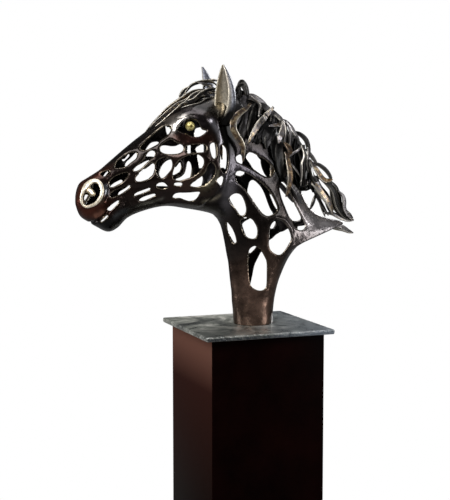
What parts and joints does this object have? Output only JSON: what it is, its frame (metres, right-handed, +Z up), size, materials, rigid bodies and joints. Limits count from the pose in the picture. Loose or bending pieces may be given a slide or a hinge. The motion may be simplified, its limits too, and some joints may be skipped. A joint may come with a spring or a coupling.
{
  "type": "bronze horse sculpture",
  "caption": "Openwork bronze horse's head and neck with a flowing mane, cast as one shell, on a square plate and a tall plinth.",
  "frame": {"origin": "middle of the plinth's underside, on the floor", "axes": "+Z up; the horse's nose points along -X and its tail side would lie along +X; the horse's own left side faces -Y"},
  "size_m": [0.9168, 0.42, 1.8136],
  "materials": {
    "bronze": "dark brown waxed patina, polished to gold on the nostrils and the edges of the locks",
    "eye_brass": "polished yellow brass",
    "plate": "grey-green mottled patina with a hammered edge",
    "plinth": "dark brown satin paint"
  },
  "bodies": {
    "root": {"plinth": "plinth", "base_plate": "plate", "horse": "bronze", "left_eye": "eye_brass", "right_eye": "eye_brass"}
  },
  "joints": []
}
